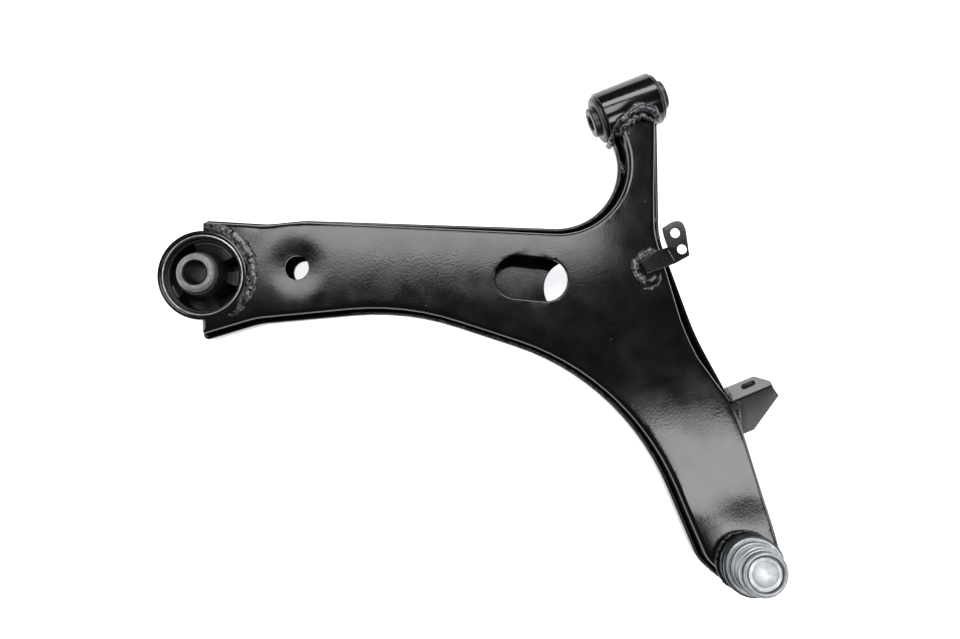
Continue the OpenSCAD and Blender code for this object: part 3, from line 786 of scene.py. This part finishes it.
# ball joint
def makeBallJoint():
    lift = Vector((ballAt.x, ballAt.y, 0.048))
    profile = [
        (10.8, -8.8), (19.6, -8.8), (20.9, -7.9), (20.9, -5.4), (19.7, -5.0), (19.7, -3.6),
        (20.5, -3.2), (20.5, -1.5), (19.1, -1.3), (19.1, -2.6), (18.2, -2.6), (18.2, 0.2),
        (17.4, 0.6), (17.0, 1.2), (17.0, 3.2)]
    for k in range(9):
        t = math.radians(-62 + 124 * k / 8)
        profile.append((17 + 6 - 2.4 - 6 * math.cos(t), 7.5 + 6 * math.sin(t)))
    profile += [
        (17.0, 13.0), (17.0, 16.6), (16.6, 17.0), (16.0, 17.0), (15.8, 15.6), (15.2, 15.6), (15.0, 17.4),
        (15.0, 19.8), (14.7, 20.8), (14.0, 21.0), (13.3, 20.8), (12.8, 20.2), (12.6, 17.5), (10.0, 17.4),
        (10.0, 10.6)]
    for k in range(10):
        t = math.radians(46 - 82.2 * k / 9)
        profile.append((14.65 * math.cos(t), 14.65 * math.sin(t)))
    housing = spinProfile("ballHousing", roundProfile(profile, 0.16, 2), lift, steps=112)
    finishPiece(housing, "ball_housing", zincPlate, 30, ("ball_joint_housing",))
    cap = spinProfile("ballCap", [
        (0, 17.65), (11.95, 17.65), (11.95, 18.9), (11.5, 19.25), (9.2, 19.2), (8.9, 19.0),
        (8.5, 19.15), (0, 19.2)], lift, steps=96)
    finishPiece(cap, "ball_housing", zincPlate, 30, ("ball_joint_cap",))
    z0 = 23.15
    z1 = 39.1
    outer = []
    inner = []
    for k in range(49):
        t = k / 48
        r = 16.5 + 5.6 * math.sin(min(1, t * 1.25) * math.pi / 2)
        r += 0.42 * math.sin(t * 14 * math.pi) * min(1, 6 * t, 6 * (1 - t))
        r = min(r, 22.35) if t < 0.9 else min(r, 20.9)
        outer.append((r, z0 + (z1 - z0) * t))
        inner.append((max(10.3, r - 1.5), z0 + (z1 - z0) * t))
    inner[0] = (10.3, z0)
    inner[1] = (10.3, z0 + 2.4)
    inner[2] = (14.5, z0 + 2.5)
    # two halves, lower and upper, meeting at the middle ring
    half = 24
    split = Vector((ballAt.x, ballAt.y, outer[half][1] * mm))
    foot = Vector((ballAt.x, ballAt.y, z0 * mm))
    crown = Vector((ballAt.x, ballAt.y, z1 * mm))
    centre = Vector((ballAt.x, ballAt.y, 0))
    lower = spinProfile("ballBootLower", outer[:half + 1] + inner[half::-1], centre, steps=96)
    finishPiece(lower, ("arm", "ball_seat", foot, split), bootRubber, 60, ("ball_joint_boot",))
    upper = spinProfile("ballBootUpper", outer[half:] + inner[:half - 1:-1], centre, steps=96)
    finishPiece(upper, ("ball_seat", "boot_band", split, crown), bootRubber, 60)
    band = spinProfile("bootBand", roundProfile(
        [(21.05, 40.4), (22.15, 40.4), (22.15, 43.4), (21.05, 43.4)], 0.4), centre, steps=96)
    finishPiece(band, "boot_band", darkPhosphate, 30, ("boot_ring",))
    boss = spinProfile("ballBoss", roundProfile(
        [(9.3, 23), (18.6, 23), (20, 21.8), (20, -19.6), (18.8, -21), (6.95, -21)], 0.5), centre, steps=96)
    finishPiece(boss, "arm", ringCoat, 35, ("ball_joint_boss",))


makeBallJoint()
print("ball joint is made")


# weld beads: laid along a path, with ripples, uneven edges and a few lumps
def makeBead(name, path, s, body="arm", mat=None, replaces=()):
    draw = random.Random(s["seed"])
    points = [Vector(p) * mm for p in path]
    lengths = [0]
    for a, b in zip(points, points[1:]):
        lengths.append(lengths[-1] + (b - a).length)
    total = lengths[-1]
    steps = max(8, int(total / (s["ripple"] * mm / 4)))
    rings = []
    wobble = [draw.uniform(-1, 1) for k in range(steps + 8)]
    for k in range(steps + 1):
        along = total * k / steps
        i = max(j for j in range(len(lengths)) if lengths[j] <= along + 1e-9)
        i = min(i, len(points) - 2)
        t = (along - lengths[i]) / (lengths[i + 1] - lengths[i])
        spot = points[i].lerp(points[i + 1], t)
        way = (points[min(i + 2, len(points) - 1)] - points[max(i - 1, 0)]).normalized()
        up = Vector(s.get("up", (0, 0, 1)))
        side = way.cross(up).normalized()
        up = side.cross(way).normalized()
        phase = (k % 4) / 4
        swell = 0.82 + 0.18 * (1 - phase) + 0.14 * (wobble[k // 4] * (1 - phase) + wobble[k // 4 + 1] * phase)
        ends = min(1, 0.35 + 3 * k / steps, 0.35 + 3 * (1 - k / steps))
        width = s["width"] * mm * swell * ends / 2
        rise = s["height"] * mm * swell * ends
        shift = side * (0.35 * mm * s.get("stray", 1) * wobble[k // 4 + 2])
        ring = []
        for j in range(s.get("sides", 14)):
            t = math.tau * j / s.get("sides", 14)
            c, q = math.cos(t), math.sin(t)
            ring.append(spot + shift + side * width * c + up * (rise * q if q > 0 else rise * 0.35 * q)
                        + way * (0.35 * s["ripple"] * mm * (max(0, q) - 0.6)))
        rings.append(ring)
    bead = loftRings(name, rings)
    return finishPiece(bead, body, mat or weldCoat, 60, replaces)


def arcPath(centre, radius, first, last, z, count=40):
    turns = [math.radians(first + (last - first) * k / count) for k in range(count + 1)]
    return [(centre[0] + radius * math.cos(t), centre[1] + radius * math.sin(t), z) for t in turns]


def makeBeads():
    makeBead("rearRingWeld", arcPath((0, 0), 37.4, -78, 66, 18.6),
             {"width": 10.5, "height": 2.6, "ripple": 5.0, "seed": 3, "stray": 1.8},
             replaces=("rear_ring_weld",))
    makeBead("rearRingWeldLow", arcPath((0, 0), 36.8, 72, -80, -19.0),
             {"width": 7, "height": 2.0, "ripple": 2.6, "seed": 4, "up": (0, 0, -1)})
    makeBead("bossWeld", arcPath((ballAt.x / mm, ballAt.y / mm), 21.2, 0, 356, 21.9, 60),
             {"width": 3.6, "height": 1.6, "ripple": 2.0, "seed": 5}, mat=seamCoat,
             replaces=("ball_joint_boss_weld",))
    makeBead("bossWeldLow", arcPath((ballAt.x / mm, ballAt.y / mm), 21.2, 356, 0, -19.0, 60),
             {"width": 3.6, "height": 1.5, "ripple": 2.0, "seed": 6, "up": (0, 0, -1)}, mat=seamCoat)


makeBeads()
print("round beads are made")


def makeSeams():
    def near(pts, test):
        return [tuple(v / mm for v in p) for p in pts if test(p.x / mm, p.y / mm)]

    def atNeckSide(x, y):
        return 92 < x < 341 and y > -106 and y > -0.55 * x + 30 and (x < 325 or y < -26)

    def atConcaveSide(x, y):
        return y < -62 and x < 271 and y < -0.45 * x - 20 and y > -328
    lip = outline(1.9, 0, 4.0)
    front = near(lip, atNeckSide)
    front.sort(key=lambda p: p[0] if p[0] < 330 else 1000 + p[1])
    makeBead("frontSeamWeld", front,
             {"width": 3.4, "height": 1.9, "ripple": 2.4, "seed": 11, "sides": 8, "stray": 0.5},
             mat=seamCoat, replaces=("front_seam_weld",))
    rear = near(lip, atConcaveSide)
    rear.sort(key=lambda p: p[0] - p[1])
    makeBead("rearSeamWeld", rear,
             {"width": 3.2, "height": 1.7, "ripple": 2.4, "seed": 12, "sides": 8, "stray": 0.5},
             mat=seamCoat, replaces=("rear_seam_weld",))


makeSeams()


# beads where the plates meet the front tube
def makeTubeBeads():
    saddle = [
        (332.0, -16.5, 15.2), (338, -13.0, 18.8), (344, -10.2, 20.4), (350, -7.6, 21.2), (356, -6.4, 21.4),
        (362, -8.6, 21.0), (366, -13.5, 19.2), (369, -18.5, 15.0), (371, -21.0, 9.0)]
    makeBead("tubeWeld", saddle,
             {"width": 7.5, "height": 2.6, "ripple": 5.0, "seed": 21, "stray": 2, "up": (0, -0.5, 1)},
             replaces=("front_tube_weld",))
    inner = [
        (334, -20, 15), (340, -17.2, 18.2), (347, -14.0, 19.8), (353, -13.2, 20.2), (359, -15.0, 19.8),
        (364, -19.5, 18.0)]
    makeBead("tubeWeldSecondPass", inner,
             {"width": 5.2, "height": 2.0, "ripple": 2.6, "seed": 22, "stray": 3})
    side = [(331.5, -17.5, 15.5), (329.8, -20.5, 9), (329.6, -21.4, 2), (329.8, -21.2, -6), (331, -19.0, -13)]
    makeBead("tubeWeldSide", side,
             {"width": 5.0, "height": 2.0, "ripple": 2.6, "seed": 23, "up": (-1, -0.4, 0)})
    under = [(333, -14.5, -17.8), (345, -10.8, -19.6), (357, -9.6, -20.2), (368, -13.5, -18.8)]
    makeBead("tubeWeldUnder", under,
             {"width": 6.5, "height": 2.2, "ripple": 2.8, "seed": 24, "up": (0, -0.4, -1)})


makeTubeBeads()
print("seam and tube beads are made")


# brackets
harness = {
    "outline": [(311.2, -117.4, 0.6), (324.8, -113.8, 1.5), (334.9, -114.6, 0.6), (335.2, -107.0, 2.5),
                (336.6, -99.5, 0.8), (346.5, -97.8, 3.0), (352.0, -100.5, 2.5), (352.5, -106.9, 3.0),
                (347.2, -127.0, 0.8), (335.4, -128.3, 0.6), (312.2, -127.2, 0.6)],
    "holes": [(343.9, -120.3), (344.0, -106.9)],
    "thick": 2.0, "bendX": 334.5, "rise": 0.10,
}


def roundedCorners(points, segments=4):
    pts = []
    count = len(points)
    for i, (x, y, r) in enumerate(points):
        here = Vector((x, y))
        before = Vector(points[i - 1][:2]) - here
        after = Vector(points[(i + 1) % count][:2]) - here
        reach = min(r, before.length * 0.45, after.length * 0.45)
        first = here + before.normalized() * reach
        last = here + after.normalized() * reach
        for k in range(segments + 1):
            t = k / segments
            pts.append(first * (1 - t) ** 2 + here * 2 * t * (1 - t) + last * t * t)
    return pts


def makeHarnessBracket():
    s = harness
    flat = roundedCorners(s["outline"])
    rings = []
    for z in (19.12, 19.12 + s["thick"]):
        rings.append([Vector((p.x, p.y, z + max(0, p.x - s["bendX"]) * s["rise"])) * mm for p in flat])
    bracket = loftRings("harnessBracket", rings)
    for x, y in s["holes"]:
        drill(bracket, (x * mm, y * mm, 0.021), 0.0036, depth=0.02, sides=48)
    bevelWhere(bracket, lambda p: True, 0.0003, 2)
    finishPiece(bracket, "arm", clipCoat, 30, ("harness_bracket",))
    evenNormals(bracket)
    # a thin pale strip along the bend line is a painted highlight
    crease = [(333.9, -115.9, 21.0), (334.8, -122.0, 21.0), (335.6, -128.6, 21.0)]
    makeBead("harnessBendHighlight", crease,
             {"width": 0.8, "height": 0.35, "ripple": 6, "seed": 31, "sides": 8, "stray": 0},
             mat=paintedBendHighlight)
    upper = [(325.5, -113.6, 19.6), (320, -112.4, 19.5), (314, -112.8, 19.4), (308.5, -114.5, 19.3)]
    makeBead("harnessWeldUpper", upper,
             {"width": 6.5, "height": 2.3, "ripple": 3.2, "seed": 32, "stray": 1.5},
             replaces=("harness_bracket_weld",))
    end = [(307.6, -113.0, 19.2), (306.2, -120, 19.2), (306.4, -127, 19.2), (308.5, -134.5, 19.2)]
    makeBead("harnessWeldEnd", end,
             {"width": 6.5, "height": 2.2, "ripple": 3.2, "seed": 33, "stray": 1.5})
    lower = [
        (306.0, -136.5, 19.0), (311, -138.8, 19.2), (316.5, -137.8, 19.8), (320.5, -134.6, 20.4),
        (321.8, -131.0, 20.6)]
    makeBead("harnessWeldLower", lower,
             {"width": 3.0, "height": 2.2, "ripple": 2.4, "seed": 34, "stray": 1.2})
    makeBead("harnessWeldBlob", [(309.5, -132.6, 19.4), (314.5, -133.4, 19.6), (318.6, -131.6, 19.8)],
             {"width": 3.6, "height": 1.6, "ripple": 2.4, "seed": 35, "stray": 1.2})


# pale coat for the bend strip: a painted highlight
paintedBendHighlight = dippedCoat("paintedHighlightOnSharpBend", {
    "colour": "#85878a", "second": "#5c5e61", "rough": 0.3, "peelMm": 1.3, "peelDepth": 0.03,
    "waveMm": 25, "waveDepth": 0.05, "dustFrom": 0.8, "edge": 0.3})
makeHarnessBracket()

linkBracket = {
    "front": -241.0, "top": 18.0, "thick": 3.0, "bend": 4.5, "slope": 45.0,
    "slot": (350.5, -233.9, 11.0, 4.0),     # x, y, length, width
    "sections": [   # x, back edge of the flange, how far down the plate it starts and ends (mm)
        (334.0, -229.6, 0.0, 44.0), (343.0, -229.6, 0.0, 44.0), (349.5, -229.6, 0.0, 44.0),
        (357.2, -229.6, 0.0, 34.2), (362.0, -233.3, 0.0, 28.2), (367.4, -237.6, 0.0, 21.3),
        (367.5, None, 1.9, 21.2), (372.0, None, 15.0, 15.6)],
}


def linkSection(x, back, start, drop):
    s = linkBracket
    slope = math.radians(s["slope"])
    down = Vector((-math.sin(slope), -math.cos(slope)))     # along the plate, as y and z
    under = Vector((math.cos(slope), -math.sin(slope))) * s["thick"]
    corner = Vector((s["front"], s["top"]))
    reach = s["bend"] * math.tan((math.pi / 2 - slope) / 2)
    turnCentre = Vector((s["front"] + reach, s["top"] - s["bend"]))
    outer, inner = [], []
    if back is None:
        outer = [corner + down * start] * 8
        inner = [corner + down * start + under] * 8
    else:
        outer.append(Vector((back, s["top"])))
        inner.append(Vector((back, s["top"] - s["thick"])))
        for k in range(7):
            t = math.pi / 2 + (math.pi / 2 - slope) * k / 6
            way = Vector((math.cos(t), math.sin(t)))
            outer.append(turnCentre + way * s["bend"])
            inner.append(turnCentre + way * (s["bend"] - s["thick"]))
    outer.append(corner + down * drop)
    inner.append(corner + down * drop + under)
    return [Vector((x, p.x, p.y)) * mm for p in outer + inner[::-1]]


def makeLinkBracket():
    s = linkBracket
    bracket = loftRings("linkBracket", [linkSection(*row) for row in s["sections"]])
    cx, cy, length, width = s["slot"]
    # the slot stops 0.6 mm above the flange's underside; its black floor is painted shade where the slot
    # would show through
    cutBy(bracket, slotCutter(length, width, (cx, cy), 0, (15.6, 30)))
    cutBy(bracket, loftRings("wallRoom", shellEdge()))
    bevelWhere(bracket, lambda p: True, 0.0004, 2)
    finishPiece(bracket, "arm", bracketCoat, 30, ("stabiliser_bracket",))
    makeBead("linkWeldTop", [(333.0, -229.8, 18.3), (334.2, -235, 18.2), (335.0, -240, 17.4)],
             {"width": 3.4, "height": 1.6, "ripple": 2.4, "seed": 41, "stray": 1.2},
             replaces=("stabiliser_bracket_weld",))
    makeBead("linkWeldDrops", [(336.0, -241.5, 16.6), (338.5, -243.5, 15.0), (341, -244.5, 13.8)],
             {"width": 2.6, "height": 1.6, "ripple": 2.0, "seed": 42, "stray": 1.2})
    side = [
        (336.4, -243.5, 14), (338.6, -249, 8.4), (338.8, -257, 0.5), (338.2, -265, -7.5), (337.2, -272, -13)]
    makeBead("linkWeldSide", side,
             {"width": 4.2, "height": 1.8, "ripple": 2.6, "seed": 43, "stray": 1.0, "up": (0.5, -0.6, 0.6)},
             mat=seamCoat)


def shellEdge():
    return [outline(-0.15, 0, -30), outline(-0.15, 0, 4.2)]


makeLinkBracket()
print("brackets are made")


def dress(node, mat):
    piece = frame["nodes"][node]
    piece.data.materials.clear()
    piece.data.materials.append(mat)


finishes = {
    "shell_coat": shellCoat, "ring_coat": ringCoat, "bracket_coat": bracketCoat, "weld_coat": weldCoat,
    "sleeve_steel": drawnSteel, "phosphated_steel": phosphateSteel, "bush_rubber": bushRubber,
    "boot_rubber": bootRubber, "zinc_plate": zincPlate, "stud_steel": studSteel, "seat_plastic": acetal,
}
for part in frame["record"]["subparts"]:
    dress(part["node"], finishes[part["material_slot"]])
print("every carried-over node has its finish")
